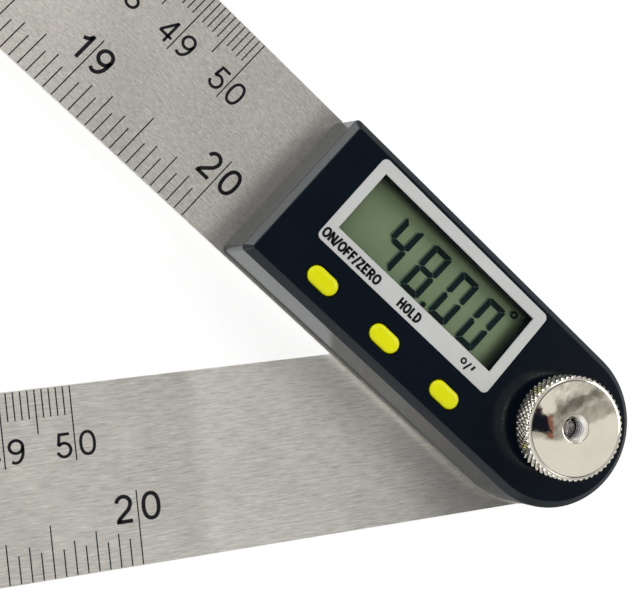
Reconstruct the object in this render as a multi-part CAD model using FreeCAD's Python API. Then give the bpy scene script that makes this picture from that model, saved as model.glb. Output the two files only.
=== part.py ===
import FreeCAD, Part
import math
import os

# Digital protractor: two steel rule blades hinged at one end, with an electronic
# head on the upper blade, a knurled clamp knob on the pivot stud and three buttons.
# Millimetres. The pivot axis is Z, the back of the lower blade lies on z = 0, and
# the head and the upper blade run along -X.

Vec = FreeCAD.Vector
UP = Vec(0, 0, 1)

# Blades
blade_width = 28.0
blade_thickness = 1.2
blade_reach = 571.0            # pivot axis to the square free end, where both scales start
blade_corner = 0.8             # radius of the free end's corners
arm_angle = 48.0               # angle between the two blades at rest
blade_gap = 0.3                # running space between the blades

# Head housing, a moulded shell that is open at the back
head_step = 0.35               # the blade's edge stands this far out of the housing
head_height = 11.2
head_end = 7.75                # bezel to the square end, at the base
head_corner = 0.9              # upright corners of the square end, at the base
face_corner = 0.35             # the same corners at the face
wall = 1.6
roof = 1.8
draft = 0.65                   # lean of the walls, base to shoulder
end_lean = 1.0                 # the same for the wall of the square end, which slopes more
bevel_run = 1.1                # width of the bevel round the face
bevel_drop = 1.2               # height of the same bevel
edge_break = 0.08              # small flats that break both edges of the bevel

# Display window and the bezel frame round it
bezel_start = 12.0             # pivot axis to the near end of the bezel
window_length = 31.9
window_width = 10.85
bezel_inset = 0.5              # face edge to bezel
bezel_side = 1.7               # bezel width at the two ends
bezel_top = 1.8
bezel_bottom = 3.1             # wide strip that carries the button names
bezel_thickness = 0.4
bezel_proud = 0.1
bezel_corner = 0.9
lens_thickness = 0.8
lens_lap = 0.8                 # lens past the window on each side
lens_fit = 0.05
lcd_depth = 2.5                # face to the front of the liquid crystal panel
lcd_thickness = 1.5
lcd_lap_x = 1.5                # panel past the window, ends
lcd_lap_y = 1.2                # panel past the window, long sides
lcd_fit = 0.05
collar_wall = 0.8
collar_gap = 0.1               # collar to panel
holder_wall = 0.5
holder_ledge = 0.8
holder_gap = 0.4               # holder to the boss beside it
zebra_width = 1.5

# Circuit board
pcb_standoff = 3.5             # blade to the board's underside
pcb_thickness = 1.0
pcb_clearance = 0.3
pcb_edge = 1.3                 # far board screw's boss to the cavity's end
pcb_near_overlap = 0.4         # near board screw past the panel's end
pcb_hole = 5.5                 # radius round the stud
pcb_screw_radius = 0.8
pcb_screw_bite = 0.15          # thread depth in the plastic
pcb_screw_length = 4.0
pcb_head_radius = 1.4
pcb_head_height = 0.8
pcb_boss_radius = 1.6
chip_size = 6.0
chip_height = 1.1
chip_distance = 17.5           # pivot axis to the chip
chip_side = 4.5
crystal_length = 5.0
crystal_radius = 0.9
capacitor_length = 1.6
capacitor_width = 0.8

# Buttons
button_length = 5.3
button_width = 2.9
button_shift = 0.15            # middle button to the middle of the display
button_inset = 5.05            # bezel's end to the outer buttons
button_edge = 3.35             # face edge to the button's centre line
button_fit = 0.2               # space all round in the housing
button_proud = 0.4
button_travel = 0.5
button_break = 0.3             # chamfer round the cap's top
button_flange = 0.8
button_flange_height = 0.6
button_rest_gap = 0.05
switch_size = 4.5
switch_height = 2.6
plunger_size = 2.2

# Case screws, countersunk from the back of the upper blade
boss_radius = 2.2
near_boss = 9.0                # pivot axis to the near pair, along the blade
screw_radius = 1.0
screw_bite = 0.2
screw_length = 7.0
screw_head_radius = 1.9
screw_fit = 0.05
pilot_end = 0.5                # pilot hole past the screw's tip
cross_width = 0.45
cross_length = 2.0
cross_depth = 0.5

# Battery and its door
battery_radius = 10.0
battery_height = 3.2
battery_end = 18.2             # battery's centre to inner_length
battery_fit = 0.15
contact_thickness = 0.3
contact_width = 3.0
door_ring = 0.65
door_thickness = 1.1
door_fit = 0.15
door_tab = 1.15
door_tab_height = 0.6
door_tab_angle = 30.0
door_notch_play = 6.0          # notch wider than the tab, in degrees
door_turn = 45.0
coin_slot_width = 1.5
coin_slot_length = 13.0
coin_slot_depth = 0.6
tray_wall = 1.6
tray_fit = 0.1

# Pivot
stud_radius = 4.0
stud_head_radius = 5.6
shank_radius = 3.0
thread_radius = 2.0
running_fit = 0.05
rotor_fit = 0.02
bush_wall = 1.0
bush_flange = 2.5
bush_flange_height = 1.0
spacer_radius = 12.0
spacer_slack = 0.05
rotor_height = 4.9             # underside of the rotor disc
rotor_thickness = 0.8
rotor_clearance = 0.4
ring_thickness = 0.6
ring_radius = 4.6
groove_depth = 0.4
ring_mouth = 4.6               # opening of the retaining ring
roof_boss_wall = 1.55
roof_boss_drop = 4.1           # roof boss below the roof
rib_thickness = 1.0
rib_height = 2.6
rib_angles = (0, 55, -55)
shank_below_face = 0.2

# Clamp knob and its washer
washer_radius = 5.6
washer_thickness = 0.6
knob_radius = 7.9              # over the knurls
knob_neck_radius = 5.0
knob_neck = 1.4
knob_band = 4.6
knob_top = 0.2                 # height of the chamfer above the knurled band
knob_top_chamfer = 0.12
knurl_count = 48
knurl_rows = 4
knurl_depth = 0.35
knob_mouth = 0.35              # countersink at the top of the threaded bore
stud_end_drop = 3.5            # stud end below the knob's top

# Levels along Z
z_lower_face = blade_thickness
z_upper_back = z_lower_face + blade_gap
z_base = z_upper_back + blade_thickness
z_face = z_base + head_height
z_shoulder = z_face - bevel_drop
z_roof = z_face - roof
z_pcb = z_base + pcb_standoff
z_pcb_top = z_pcb + pcb_thickness
z_bezel = z_face + bezel_proud - bezel_thickness
z_lens = z_bezel - lens_thickness
z_lcd = z_face - lcd_depth
z_lcd_back = z_lcd - lcd_thickness
z_neck = z_face + washer_thickness
z_band = z_neck + knob_neck
z_band_top = z_band + knob_band
z_knob = z_band_top + knob_top

# Plan sizes that follow from the values above
bezel_length = window_length + 2 * bezel_side
bezel_width = window_width + bezel_top + bezel_bottom
display_distance = bezel_start + bezel_length / 2
head_length = bezel_start + bezel_length + head_end
extra_lean = end_lean - draft
inner_length = head_length - extra_lean    # head as long as it would be with one lean all round
button_distance = display_distance - button_shift
button_pitch = bezel_length / 2 - button_inset
battery_distance = inner_length - battery_end
base_half = blade_width / 2 - head_step
face_half = base_half - draft - bevel_run
cavity_inset = wall + draft
boss_y = base_half - wall - boss_radius
far_boss = inner_length - wall - boss_radius
window_y = face_half - bezel_inset - bezel_top - window_width / 2
button_y = -(face_half - button_edge)
button_x = [-button_distance + step * button_pitch for step in (-1, 0, 1)]
lcd_length = window_length + 2 * lcd_lap_x
lcd_width = window_width + 2 * lcd_lap_y
rotor_radius = math.hypot(near_boss, boss_y) - boss_radius - rotor_clearance
door_hole = battery_radius + battery_fit + door_ring + door_fit
far_pcb_screw = (-(inner_length - cavity_inset - pcb_boss_radius - pcb_edge), 0.0)
holder_side = window_y - lcd_width / 2 - lcd_fit - holder_wall
near_pcb_screw = (-(display_distance - lcd_length / 2 + pcb_near_overlap),
                  holder_side - holder_gap - pcb_boss_radius)
case_screw_places = [(-x, side * boss_y) for x in (near_boss, far_boss) for side in (-1, 1)]
pcb_screw_places = [far_pcb_screw, near_pcb_screw]


def cylinder(radius, z_low, z_high, x=0.0, y=0.0):
    return Part.makeCylinder(radius, z_high - z_low, Vec(x, y, z_low), UP)


def cone(low_radius, high_radius, z_low, z_high, x=0.0, y=0.0):
    return Part.makeCone(low_radius, high_radius, z_high - z_low, Vec(x, y, z_low), UP)


def tube(inner, outer, z_low, z_high, x=0.0, y=0.0):
    return cylinder(outer, z_low, z_high, x, y).cut(cylinder(inner, z_low, z_high, x, y))


def block(length, width, z_low, z_high, x=0.0, y=0.0):
    corner = Vec(x - length / 2, y - width / 2, z_low)
    return Part.makeBox(length, width, z_high - z_low, corner)


def upright_edges(shape):
    edges = []
    for edge in shape.Edges:
        ends = [vertex.Point for vertex in edge.Vertexes]
        if len(ends) == 2 and (ends[1] - ends[0]).cross(UP).Length < 1e-6:
            edges.append(edge)
    return edges


def rounded_block(length, width, radius, z_low, z_high, x=0.0, y=0.0):
    plain = block(length, width, z_low, z_high, x, y)
    return plain.makeFillet(radius, upright_edges(plain))


def obround(length, width, z_low, z_high, x=0.0, y=0.0):
    reach = (length - width) / 2
    middle = block(2 * reach, width, z_low, z_high, x, y)
    ends = [cylinder(width / 2, z_low, z_high, x + side * reach, y) for side in (-1, 1)]
    return middle.fuse(ends).removeSplitter()


def tongue_wire(length, half, corner, z):
    """Outline with a round end about the pivot and a square end with rounded corners."""
    low, high = -half, half
    end = -length
    slant = corner * (1 - math.sqrt(0.5))
    pieces = [
        Part.LineSegment(Vec(0, high, z), Vec(end + corner, high, z)),
        Part.Arc(Vec(end + corner, high, z), Vec(end + slant, high - slant, z), Vec(end, high - corner, z)),
        Part.LineSegment(Vec(end, high - corner, z), Vec(end, low + corner, z)),
        Part.Arc(Vec(end, low + corner, z), Vec(end + slant, low + slant, z), Vec(end + corner, low, z)),
        Part.LineSegment(Vec(end + corner, low, z), Vec(0, low, z)),
        Part.Arc(Vec(0, low, z), Vec(half, 0, z), Vec(0, high, z)),
    ]
    return Part.Wire([piece.toShape() for piece in pieces])


def tongue(length, half, corner, z_low, z_high):
    face = Part.Face(tongue_wire(length, half, corner, z_low))
    return face.extrude(Vec(0, 0, z_high - z_low))


def head_wire(inset, z):
    """Housing outline, moved in by inset from the base outline."""
    corner = max(head_corner - inset * (head_corner - face_corner) / (draft + bevel_run), face_corner)
    end = head_length - inset - extra_lean * min(inset / draft, 1.0)
    return tongue_wire(end, base_half - inset, corner, z)


def head_loft(low_inset, high_inset, z_low, z_high):
    return Part.makeLoft([head_wire(low_inset, z_low), head_wire(high_inset, z_high)], True, True)


def door_place():
    return -battery_distance, 0.0


def sector(inner, outer, angle, middle, z_low, z_high, x, y):
    """Part of a ring, angle wide, centred on the direction given by middle."""
    ring = Part.makeCylinder(outer, z_high - z_low, Vec(x, y, z_low), UP, angle)
    ring = ring.cut(cylinder(inner, z_low, z_high, x, y))
    ring.rotate(Vec(x, y, 0), UP, middle - angle / 2)
    return ring


def plain_blade(z_low):
    return tongue(blade_reach, blade_width / 2, blade_corner, z_low, z_low + blade_thickness)


def upper_blade():
    blade = plain_blade(z_upper_back)
    x, y = door_place()
    cuts = [cylinder(stud_radius + bush_wall, z_upper_back, z_base)]
    cuts.append(cylinder(door_hole, z_upper_back, z_base, x, y))
    for side in (0, 180):
        notch_outer = door_hole + door_tab + door_fit
        notch = sector(door_hole / 2, notch_outer, door_tab_angle + door_notch_play, side + door_turn,
                       z_upper_back, z_base, x, y)
        cuts.append(notch)
    for x, y in case_screw_places:
        cuts.append(cone(screw_head_radius + screw_fit, screw_radius + screw_fit, z_upper_back, z_base, x, y))
    return blade.cut(cuts)


def lower_blade():
    blade = plain_blade(0.0)
    blade = blade.cut(cone(stud_head_radius, stud_radius, 0.0, blade_thickness))
    blade.rotate(Vec(0, 0, 0), UP, arm_angle)
    return blade


def broken_edges(shape, level, size):
    """Chamfers every edge that lies at one level."""
    edges = []
    for edge in shape.Edges:
        box = edge.BoundBox
        if abs(box.ZMin - level) < 1e-6 and abs(box.ZMax - level) < 1e-6:
            edges.append(edge)
    return shape.makeChamfer(size, edges)


def housing_profile():
    """Inset and level up the outside of the housing: wall, edge break, bevel, edge break."""
    lean = draft / (z_shoulder - z_base)
    slope = bevel_run / bevel_drop
    return [
        (0.0, z_base),
        (draft - edge_break * lean, z_shoulder - edge_break),
        (draft + edge_break * slope, z_shoulder + edge_break),
        (draft + bevel_run - edge_break * slope, z_face - edge_break),
        (draft + bevel_run + edge_break, z_face),
    ]


def housing_shell():
    profile = housing_profile()
    steps = zip(profile, profile[1:])
    stages = [head_loft(low[0], high[0], low[1], high[1]) for low, high in steps]
    outer = stages[0].fuse(stages[1:])
    return outer.cut(head_loft(wall, cavity_inset, z_base, z_roof))


def housing_bosses():
    solids = []
    inside = head_loft(wall / 2, draft + wall / 2, z_base, z_roof)
    for x, y in case_screw_places:
        solids.append(cylinder(boss_radius, z_base, z_roof, x, y))
    for x, y in pcb_screw_places:
        solids.append(cylinder(pcb_boss_radius, z_pcb_top, z_roof, x, y))
    solids.append(cylinder(shank_radius + roof_boss_wall, z_roof - roof_boss_drop, z_roof))
    rib_reach = base_half
    for angle in rib_angles:
        rib = block(rib_reach, rib_thickness, z_roof - rib_height, z_roof, rib_reach / 2, 0.0)
        rib.rotate(Vec(0, 0, 0), UP, angle)
        solids.append(rib)
    collar_length = window_length + 2 * collar_wall
    collar_width = window_width + 2 * collar_wall
    solids.append(block(collar_length, collar_width, z_lcd + collar_gap, z_roof, -display_distance, window_y))
    return [solid.common(inside) for solid in solids]


def housing_cuts():
    cuts = [cylinder(shank_radius + running_fit, z_roof - roof_boss_drop, z_face)]
    x, y = -display_distance, window_y
    cuts.append(rounded_block(bezel_length + 2 * lens_fit, bezel_width + 2 * lens_fit, bezel_corner,
                              z_bezel, z_face + 1, x, bezel_y()))
    cuts.append(block(window_length + 2 * (lens_lap + lens_fit), window_width + 2 * (lens_lap + lens_fit),
                      z_lens, z_face, x, y))
    cuts.append(block(window_length, window_width, z_lcd, z_face, x, y))
    for x in button_x:
        length = button_length + 2 * button_fit
        width = button_width + 2 * button_fit
        cuts.append(obround(length, width, z_roof, z_face, x, button_y))
    for x, y in case_screw_places:
        hole_end = z_upper_back + screw_length + pilot_end
        cuts.append(cylinder(screw_radius - screw_bite, z_base, hole_end, x, y))
    for x, y in pcb_screw_places:
        hole_end = z_pcb + pcb_screw_length + pilot_end
        cuts.append(cylinder(pcb_screw_radius - pcb_screw_bite, z_pcb_top, hole_end, x, y))
    return cuts


def head_housing():
    shell = housing_shell().fuse(housing_bosses())
    return shell.cut(housing_cuts())


def bezel_y():
    return window_y + (bezel_top - bezel_bottom) / 2


def bezel_frame():
    top = z_bezel + bezel_thickness
    plate = rounded_block(bezel_length, bezel_width, bezel_corner, z_bezel, top, -display_distance, bezel_y())
    return plate.cut(block(window_length, window_width, z_bezel, z_face + 1, -display_distance, window_y))


def display_lens():
    length = window_length + 2 * lens_lap
    width = window_width + 2 * lens_lap
    return block(length, width, z_lens, z_bezel, -display_distance, window_y)


def lcd_panel():
    return block(lcd_length, lcd_width, z_lcd_back, z_lcd, -display_distance, window_y)


def lcd_holder():
    x, y = -display_distance, window_y
    pocket_length = lcd_length + 2 * lcd_fit
    pocket_width = lcd_width + 2 * lcd_fit
    outer = block(pocket_length + 2 * holder_wall, pocket_width + 2 * holder_wall, z_pcb_top, z_lcd, x, y)
    pocket = block(pocket_length, pocket_width, z_lcd_back, z_lcd, x, y)
    below = block(lcd_length - 2 * holder_ledge, pocket_width, z_pcb_top, z_lcd_back, x, y)
    return outer.cut([pocket, below])


def zebra_strips():
    strips = []
    for side in (-1, 1):
        y = window_y + side * (lcd_width / 2 - zebra_width / 2)
        length = lcd_length - 2 * holder_ledge - 2 * lcd_fit
        strips.append(block(length, zebra_width, z_pcb_top, z_lcd_back, -display_distance, y))
    return Part.makeCompound(strips)


def main_pcb():
    inset = cavity_inset + pcb_clearance
    board = tongue(inner_length - inset, base_half - inset, head_corner, z_pcb, z_pcb_top)
    cuts = [cylinder(pcb_hole, z_pcb, z_pcb_top)]
    for x, y in case_screw_places:
        notch = 2 * (boss_radius + pcb_clearance)
        cuts.append(block(notch, notch, z_pcb, z_pcb_top, x, y))
    for x, y in pcb_screw_places:
        cuts.append(cylinder(pcb_screw_radius + screw_fit, z_pcb, z_pcb_top, x, y))
    return board.cut(cuts)


def controller_chip():
    return block(chip_size, chip_size, z_pcb - chip_height, z_pcb, -chip_distance, chip_side)


def pcb_components():
    parts = []
    spacing = 2 * capacitor_width
    for row in range(4):
        y = -chip_side + row * spacing
        parts.append(block(capacitor_length, capacitor_width, z_pcb - capacitor_width, z_pcb,
                           -chip_distance + capacitor_length, y))
    crystal = Part.makeCylinder(crystal_radius, crystal_length,
                                Vec(-chip_distance - capacitor_length, -chip_side - crystal_length / 2,
                                    z_pcb - crystal_radius), Vec(0, 1, 0))
    parts.append(crystal)
    return Part.makeCompound(parts)


def tact_switches():
    switches = []
    for x in button_x:
        body = block(switch_size, switch_size, z_pcb_top, z_pcb_top + switch_height, x, button_y)
        top = z_roof - button_rest_gap - button_flange_height - button_travel - 2 * button_rest_gap
        plunger = block(plunger_size, plunger_size, z_pcb_top + switch_height, top, x, button_y)
        switches.append(body.fuse(plunger).removeSplitter())
    return Part.makeCompound(switches)


def button(x):
    flange_top = z_roof - button_rest_gap
    cap = obround(button_length, button_width, flange_top, z_face + button_proud, x, button_y)
    cap = broken_edges(cap, z_face + button_proud, button_break)
    flange = obround(button_length + 2 * button_flange, button_width + 2 * button_flange,
                     flange_top - button_flange_height, flange_top, x, button_y)
    return cap.fuse(flange).removeSplitter()


def cross_recess(x, y, z_open, inward):
    z_low, z_high = sorted((z_open, z_open + inward * cross_depth))
    arms = block(cross_length, cross_width, z_low, z_high, x, y)
    return arms.fuse(block(cross_width, cross_length, z_low, z_high, x, y))


def case_screws():
    screws = []
    for x, y in case_screw_places:
        head = cone(screw_head_radius, screw_radius, z_upper_back, z_base, x, y)
        shank = cylinder(screw_radius, z_base, z_upper_back + screw_length, x, y)
        screws.append(head.fuse(shank).cut(cross_recess(x, y, z_upper_back, 1)).removeSplitter())
    return Part.makeCompound(screws)


def pcb_screws():
    screws = []
    for x, y in pcb_screw_places:
        head = cylinder(pcb_head_radius, z_pcb - pcb_head_height, z_pcb, x, y)
        shank = cylinder(pcb_screw_radius, z_pcb, z_pcb + pcb_screw_length, x, y)
        screws.append(head.fuse(shank).cut(cross_recess(x, y, z_pcb - pcb_head_height, 1)).removeSplitter())
    return Part.makeCompound(screws)


def battery_levels():
    top = z_pcb - contact_thickness
    return top - battery_height, top


def coin_battery():
    x, y = door_place()
    z_low, z_high = battery_levels()
    return cylinder(battery_radius, z_low, z_high, x, y)


def battery_tray():
    x, y = door_place()
    reach = battery_radius + battery_fit + tray_wall
    tray = block(2 * reach, 2 * reach, z_base, z_pcb, x, y)
    sweep = door_hole + door_tab + door_fit
    z_sweep = z_base + door_tab_height + 2 * door_fit
    cuts = [cylinder(battery_radius + battery_fit, z_base, z_pcb, x, y)]
    cuts.append(cylinder(sweep, z_base, z_sweep, x, y))
    slot_x = x + battery_radius + battery_fit
    slot_length = 2 * contact_thickness + battery_fit
    slot_width = contact_width + 2 * battery_fit
    cuts.append(block(slot_length, slot_width, z_base, z_pcb, slot_x, y))
    for px, py in case_screw_places + pcb_screw_places:
        cuts.append(cylinder(boss_radius + pcb_clearance, z_base, z_pcb, px, py))
    cavity = head_loft(wall + tray_fit, cavity_inset + tray_fit, z_base, z_roof)
    return tray.cut(cuts).common(cavity)


def positive_contact():
    x, y = door_place()
    z_low = z_base + door_tab_height + 2 * door_fit
    return block(contact_thickness, contact_width, z_low, z_pcb,
                 x + battery_radius + contact_thickness / 2, y)


def negative_contact():
    x, y = door_place()
    z_low = z_pcb - contact_thickness
    pad = cylinder(contact_width, z_low, z_pcb, x, y)
    arm = block(battery_radius, contact_width, z_low, z_pcb, x - battery_radius / 2, y)
    return pad.fuse(arm).removeSplitter()


def battery_door():
    x, y = door_place()
    outer = door_hole - door_fit
    inner = outer - door_ring
    z_tab = z_base + running_fit
    top = z_tab + door_tab_height
    door = cylinder(outer, z_upper_back, z_upper_back + door_thickness, x, y)
    door = door.fuse(tube(inner, outer, z_upper_back + door_thickness, top, x, y))
    tabs = [sector(inner, outer + door_tab, door_tab_angle, side, z_tab, top, x, y) for side in (0, 180)]
    door = door.fuse(tabs).removeSplitter()
    slot = obround(coin_slot_length, coin_slot_width, z_upper_back, z_upper_back + coin_slot_depth, x, y)
    return door.cut(slot)


def pivot_stud():
    z_thread = z_face - shank_below_face
    z_end = z_knob - stud_end_drop
    z_groove = rotor_height + rotor_thickness
    stud = cone(stud_head_radius, stud_radius, 0.0, blade_thickness)
    stud = stud.fuse([
        cylinder(stud_radius, blade_thickness, rotor_height),
        cylinder(shank_radius, rotor_height, z_thread),
        cylinder(thread_radius, z_thread, z_end),
    ]).removeSplitter()
    groove = tube(shank_radius - groove_depth, shank_radius + 1, z_groove, z_groove + ring_thickness)
    return stud.cut(groove)


def pivot_bush():
    inner = stud_radius + running_fit
    barrel = tube(inner, stud_radius + bush_wall, z_upper_back, z_base)
    flange = tube(inner, stud_radius + bush_flange, z_base, z_base + bush_flange_height)
    return barrel.fuse(flange).removeSplitter()


def spacer_washer():
    return tube(stud_radius + running_fit, spacer_radius, z_lower_face, z_upper_back - spacer_slack)


def rotor_disc():
    return tube(shank_radius + rotor_fit, rotor_radius, rotor_height, rotor_height + rotor_thickness)


def retaining_ring():
    z_low = rotor_height + rotor_thickness
    ring = tube(shank_radius - groove_depth, ring_radius, z_low, z_low + ring_thickness)
    return ring.cut(block(ring_radius, ring_mouth, z_low, z_low + ring_thickness, ring_radius / 2, 0.0))


def knob_washer():
    return tube(thread_radius + running_fit, washer_radius, z_face, z_neck)


def knurled_band(radius, depth, count, rows, z_low, z_high):
    """Diamond knurl: peaks at full radius, groove crossings depth below them."""
    steps = 2 * count

    def point(i, j):
        peak = (i + j) % 2 == 1
        reach = radius if peak else radius - depth
        angle = math.pi * i / count
        z = z_low + (z_high - z_low) * j / rows
        return Vec(reach * math.cos(angle), reach * math.sin(angle), z)

    def facet(*corners):
        return Part.Face(Part.makePolygon(list(corners) + [corners[0]]))

    faces = []
    for j in range(rows + 1):
        for i in range((j + 1) % 2, steps, 2):
            peak = point(i, j)
            left, right = point(i - 1, j), point(i + 1, j)
            if j < rows:
                above = point(i, j + 1)
                faces.extend([facet(peak, right, above), facet(peak, above, left)])
            if j > 0:
                below = point(i, j - 1)
                faces.extend([facet(peak, left, below), facet(peak, below, right)])
    for j in (0, rows):
        faces.append(facet(*[point(i, j) for i in range(steps)]))
    shell = Part.Shell(faces)
    shell.sewShape()
    return Part.Solid(shell)


def clamp_knob():
    waist = knob_radius - knurl_depth
    band = knurled_band(knob_radius, knurl_depth, knurl_count, knurl_rows, z_band, z_band_top)
    neck = cylinder(knob_neck_radius, z_neck, z_band)
    crown = cone(waist, waist - knob_top_chamfer, z_band_top, z_knob)
    bore = cylinder(thread_radius + running_fit, z_neck, z_knob)
    mouth = cone(thread_radius + running_fit, thread_radius + running_fit + knob_mouth,
                 z_knob - knob_mouth, z_knob)
    return band.fuse([neck, crown]).cut([bore, mouth])


nodes = {
    "upper_blade": upper_blade(),
    "lower_blade": lower_blade(),
    "head_housing": head_housing(),
    "bezel_frame": bezel_frame(),
    "display_lens": display_lens(),
    "lcd_panel": lcd_panel(),
    "lcd_holder": lcd_holder(),
    "zebra_strips": zebra_strips(),
    "main_pcb": main_pcb(),
    "controller_chip": controller_chip(),
    "pcb_components": pcb_components(),
    "tact_switches": tact_switches(),
    "zero_button": button(button_x[0]),
    "hold_button": button(button_x[1]),
    "unit_button": button(button_x[2]),
    "case_screws": case_screws(),
    "pcb_screws": pcb_screws(),
    "battery_tray": battery_tray(),
    "coin_battery": coin_battery(),
    "positive_contact": positive_contact(),
    "negative_contact": negative_contact(),
    "battery_door": battery_door(),
    "pivot_stud": pivot_stud(),
    "pivot_bush": pivot_bush(),
    "spacer_washer": spacer_washer(),
    "rotor_disc": rotor_disc(),
    "retaining_ring": retaining_ring(),
    "knob_washer": knob_washer(),
    "clamp_knob": clamp_knob(),
}

os.makedirs("parts", exist_ok=True)
for name, shape in nodes.items():
    print(f"{name:18s} solids {len(shape.Solids)}  volume {shape.Volume:9.2f}  valid {shape.isValid()}")
    shape.exportStep(os.path.join("parts", name + ".step"))
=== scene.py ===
import math

import bpy
from mathutils import Matrix, Vector


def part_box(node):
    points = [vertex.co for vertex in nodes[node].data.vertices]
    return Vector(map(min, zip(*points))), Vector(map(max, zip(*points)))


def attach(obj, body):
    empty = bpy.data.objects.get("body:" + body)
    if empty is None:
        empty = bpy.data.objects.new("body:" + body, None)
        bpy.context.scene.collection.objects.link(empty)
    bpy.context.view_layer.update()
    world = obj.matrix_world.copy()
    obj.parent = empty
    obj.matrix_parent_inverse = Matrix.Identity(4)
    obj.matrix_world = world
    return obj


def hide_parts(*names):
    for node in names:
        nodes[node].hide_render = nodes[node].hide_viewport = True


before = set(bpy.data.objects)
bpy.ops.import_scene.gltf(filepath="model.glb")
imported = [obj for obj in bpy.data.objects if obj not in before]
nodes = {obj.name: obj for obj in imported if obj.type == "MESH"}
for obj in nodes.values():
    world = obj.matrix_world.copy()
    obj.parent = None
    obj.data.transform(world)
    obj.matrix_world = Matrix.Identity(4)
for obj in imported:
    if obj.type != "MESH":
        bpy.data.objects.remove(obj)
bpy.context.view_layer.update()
scene = bpy.context.scene

# Lengths below are in millimetres unless a comment says otherwise
MM = 0.001
ARM_TURN = math.radians(48.0)

# Levels and places taken from the solids
upper_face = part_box("upper_blade")[1].z / MM
lower_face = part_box("lower_blade")[1].z / MM
blade_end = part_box("upper_blade")[0].x / MM
blade_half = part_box("upper_blade")[1].y / MM
lcd_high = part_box("lcd_panel")[1] / MM
bezel_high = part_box("bezel_frame")[1] / MM
knob_low, knob_high = [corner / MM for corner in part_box("clamp_knob")]
knob_radius = knob_high.x


# Materials

def material(name):
    made = bpy.data.materials.new(name)
    made.use_nodes = True
    tree = made.node_tree
    tree.nodes.clear()
    output = tree.nodes.new("ShaderNodeOutputMaterial")
    shader = tree.nodes.new("ShaderNodeBsdfPrincipled")
    tree.links.new(shader.outputs["BSDF"], output.inputs["Surface"])
    return made, tree, shader


def math_node(tree, operation, first, second=0.0):
    node = tree.nodes.new("ShaderNodeMath")
    node.operation = operation
    for socket, value in zip(node.inputs, (first, second)):
        if isinstance(value, (int, float)):
            socket.default_value = value
        else:
            tree.links.new(value, socket)
    return node.outputs[0]


def object_place(tree, turn=0.0):
    """Place on the piece in metres, turned so that x runs along the blade."""
    place = tree.nodes.new("ShaderNodeTexCoord")
    spin = tree.nodes.new("ShaderNodeMapping")
    spin.inputs["Rotation"].default_value = (0, 0, -turn)
    tree.links.new(place.outputs["Object"], spin.inputs["Vector"])
    return spin.outputs["Vector"]


def split(tree, vector):
    parts = tree.nodes.new("ShaderNodeSeparateXYZ")
    tree.links.new(vector, parts.inputs[0])
    return parts.outputs


def noise(tree, place, scale, stretch=(1, 1, 1), detail=2.0, roughness=0.5):
    squeeze = tree.nodes.new("ShaderNodeMapping")
    squeeze.inputs["Scale"].default_value = stretch
    texture = tree.nodes.new("ShaderNodeTexNoise")
    texture.inputs["Scale"].default_value = scale
    texture.inputs["Detail"].default_value = detail
    texture.inputs["Roughness"].default_value = roughness
    tree.links.new(place, squeeze.inputs["Vector"])
    tree.links.new(squeeze.outputs["Vector"], texture.inputs["Vector"])
    return texture.outputs["Fac"]


def spread(tree, value, low_in, high_in, low_out, high_out, smooth=False):
    node = tree.nodes.new("ShaderNodeMapRange")
    node.interpolation_type = "SMOOTHSTEP" if smooth else "LINEAR"
    node.inputs["From Min"].default_value = low_in
    node.inputs["From Max"].default_value = high_in
    node.inputs["To Min"].default_value = low_out
    node.inputs["To Max"].default_value = high_out
    tree.links.new(value, node.inputs["Value"])
    return node.outputs[0]


def mixed(tree, factor, first, second, blend="MIX"):
    node = tree.nodes.new("ShaderNodeMix")
    node.data_type = "RGBA"
    node.blend_type = blend
    sockets = [socket for socket in node.inputs if socket.type == "RGBA"]
    for socket, value in zip(sockets, (first, second)):
        if isinstance(value, tuple):
            socket.default_value = (*value, 1.0)
        else:
            tree.links.new(value, socket)
    if isinstance(factor, (int, float)):
        node.inputs[0].default_value = factor
    else:
        tree.links.new(factor, node.inputs[0])
    return [socket for socket in node.outputs if socket.type == "RGBA"][0]


def bump(tree, shader, height, strength, distance, under=None):
    node = tree.nodes.new("ShaderNodeBump")
    node.inputs["Strength"].default_value = strength
    node.inputs["Distance"].default_value = distance
    tree.links.new(height, node.inputs["Height"])
    if under is not None:
        tree.links.new(under, node.inputs["Normal"])
    tree.links.new(node.outputs["Normal"], shader.inputs["Normal"])
    return node.outputs["Normal"]


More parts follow.
